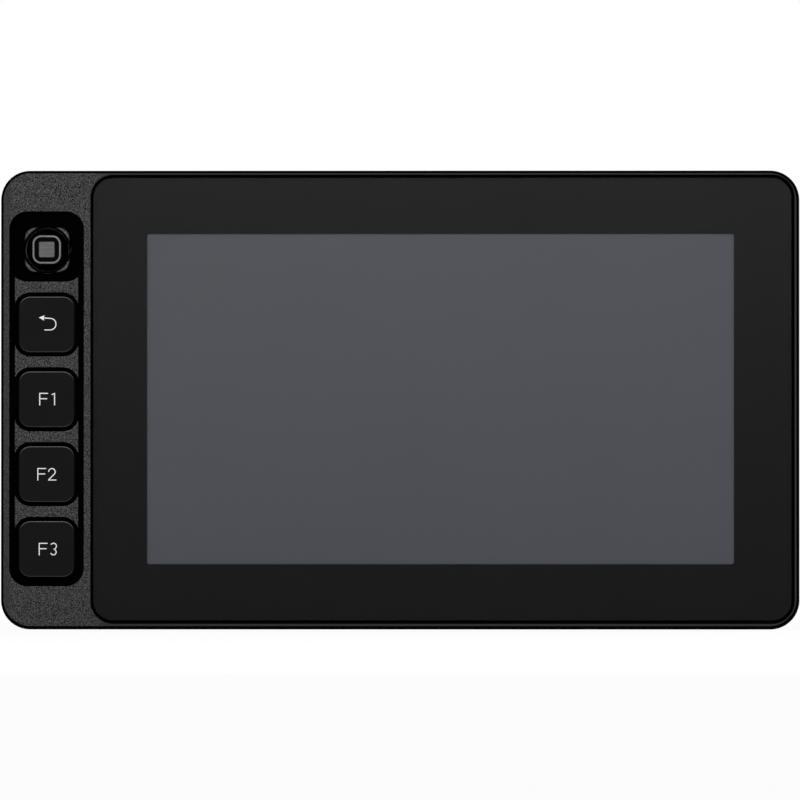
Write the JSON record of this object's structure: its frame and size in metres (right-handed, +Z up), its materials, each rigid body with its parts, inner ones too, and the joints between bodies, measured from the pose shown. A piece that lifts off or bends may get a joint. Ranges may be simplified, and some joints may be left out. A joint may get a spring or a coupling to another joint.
{
  "type": "camera field monitor",
  "caption": "Flat camera-top field monitor: glass-fronted screen, control strip with joystick and keys on the left, cooled rear block with side connectors and mounting threads.",
  "frame": {"origin": "middle of the footprint, on the surface the monitor stands on", "axes": "+X to the right of the screen seen from the front, +Y from the screen to the back, +Z up"},
  "size_m": [0.1504, 0.03, 0.0865],
  "materials": {
    "housing_black": "black coat with a fine texture",
    "cover_black": "black coat with a fine texture",
    "clear_glass": "clear, polished",
    "border_black": "black print",
    "seal_black": "matt black",
    "tape_black": "black foam tape",
    "lcd_grey": "dark grey, unlit",
    "guide_white": "translucent white",
    "tray_metal": "plain sheet",
    "led_white": "white",
    "frame_metal": "brushed",
    "screw_dark": "black oxide",
    "screw_bright": "zinc",
    "key_black": "soft matt black",
    "switch_black": "moulded",
    "well_black": "matt black",
    "stick_black": "matt black",
    "bright_trim": "satin metal",
    "board_green": "solder resist",
    "chip_black": "moulded",
    "sink_metal": "anodised",
    "fan_black": "moulded",
    "brass": "plain",
    "connector_nickel": "nickel plate",
    "connector_steel": "bright sheet",
    "insulator_white": "waxy white",
    "contact_gold": "gold plate",
    "connector_black": "moulded",
    "insert_steel": "stainless",
    "cable_film": "film"
  },
  "bodies": {
    "monitor": {"front_housing": "housing_black", "rear_housing": "housing_black", "rear_cover": "cover_black", "cover_glass": "clear_glass", "border_mask": "border_black", "glass_seal": "seal_black", "glass_tape": "tape_black", "lcd_cell": "lcd_grey", "light_guide": "guide_white", "led_bar": "led_white", "backlight_tray": "tray_metal", "display_frame": "frame_metal", "frame_screws": "screw_bright", "key_board": "board_green", "key_board_screws": "screw_bright", "key_switches": "switch_black", "joystick_bezel": "well_black", "joystick_collar": "housing_black", "joystick_base": "switch_black", "press_switch": "switch_black", "main_board": "board_green", "board_standoffs": "brass", "board_screws": "screw_bright", "processor": "chip_black", "heat_sink": "sink_metal", "fan_frame": "fan_black", "sdi_in_jack": "connector_nickel", "sdi_out_jack": "connector_nickel", "sdi_nuts": "connector_nickel", "sdi_insulators": "insulator_white", "sdi_contacts": "contact_gold", "power_socket": "connector_black", "power_pins": "contact_gold", "video_in_port": "connector_steel", "video_out_port": "connector_steel", "video_tongues": "connector_black", "headphone_jack": "connector_black", "power_switch": "switch_black", "housing_screws": "screw_dark", "cover_screws": "screw_dark", "thread_inserts": "insert_steel", "display_cable": "cable_film", "key_cable": "cable_film"},
    "back_key_unit": {"back_key": "key_black", "back_plunger": "switch_black"},
    "f1_key_unit": {"f1_key": "key_black", "f1_plunger": "switch_black"},
    "f2_key_unit": {"f2_key": "key_black", "f2_plunger": "switch_black"},
    "f3_key_unit": {"f3_key": "key_black", "f3_plunger": "switch_black"},
    "power_key_unit": {"power_button": "key_black", "power_plunger": "switch_black"},
    "joystick_gimbal": {"gimbal_ring": "switch_black"},
    "joystick_hub": {"gimbal_hub": "switch_black"},
    "joystick_lever": {"joystick_stick": "stick_black", "joystick_cap": "stick_black", "joystick_trim": "bright_trim", "joystick_insert": "bright_trim"},
    "fan_wheel": {"fan_rotor": "fan_black"}
  },
  "joints": [
    {"name": "back_press", "type": "slide", "parent": "monitor", "child": "back_key_unit", "axis": [0, 1, 0], "range_m": [0, 0.0006], "stiffness_N_per_m": 2500},
    {"name": "f1_press", "type": "slide", "parent": "monitor", "child": "f1_key_unit", "axis": [0, 1, 0], "range_m": [0, 0.0006], "stiffness_N_per_m": 2500},
    {"name": "f2_press", "type": "slide", "parent": "monitor", "child": "f2_key_unit", "axis": [0, 1, 0], "range_m": [0, 0.0006], "stiffness_N_per_m": 2500},
    {"name": "f3_press", "type": "slide", "parent": "monitor", "child": "f3_key_unit", "axis": [0, 1, 0], "range_m": [0, 0.0006], "stiffness_N_per_m": 2500},
    {"name": "power_press", "type": "slide", "parent": "monitor", "child": "power_key_unit", "axis": [0, 0, -1], "range_m": [0, 0.0006], "stiffness_N_per_m": 2500},
    {"name": "joystick_up_down", "type": "hinge", "parent": "monitor", "child": "joystick_gimbal", "pos_m": [-0.06665, -0.0095, 0.07165], "axis": [1, 0, 0], "range_deg": [-6, 6], "stiffness_Nm_per_rad": 0.05},
    {"name": "joystick_left_right", "type": "hinge", "parent": "joystick_gimbal", "child": "joystick_hub", "pos_m": [-0.06665, -0.0095, 0.07165], "axis": [0, 0, 1], "range_deg": [-6, 6], "stiffness_Nm_per_rad": 0.05},
    {"name": "joystick_press", "type": "slide", "parent": "joystick_hub", "child": "joystick_lever", "axis": [0, 1, 0], "range_m": [0, 0.0003], "stiffness_N_per_m": 4000},
    {"name": "fan_spin", "type": "hinge", "parent": "monitor", "child": "fan_wheel", "pos_m": [0, 0.0098, 0.04325], "axis": [0, 1, 0], "continuous": true}
  ]
}
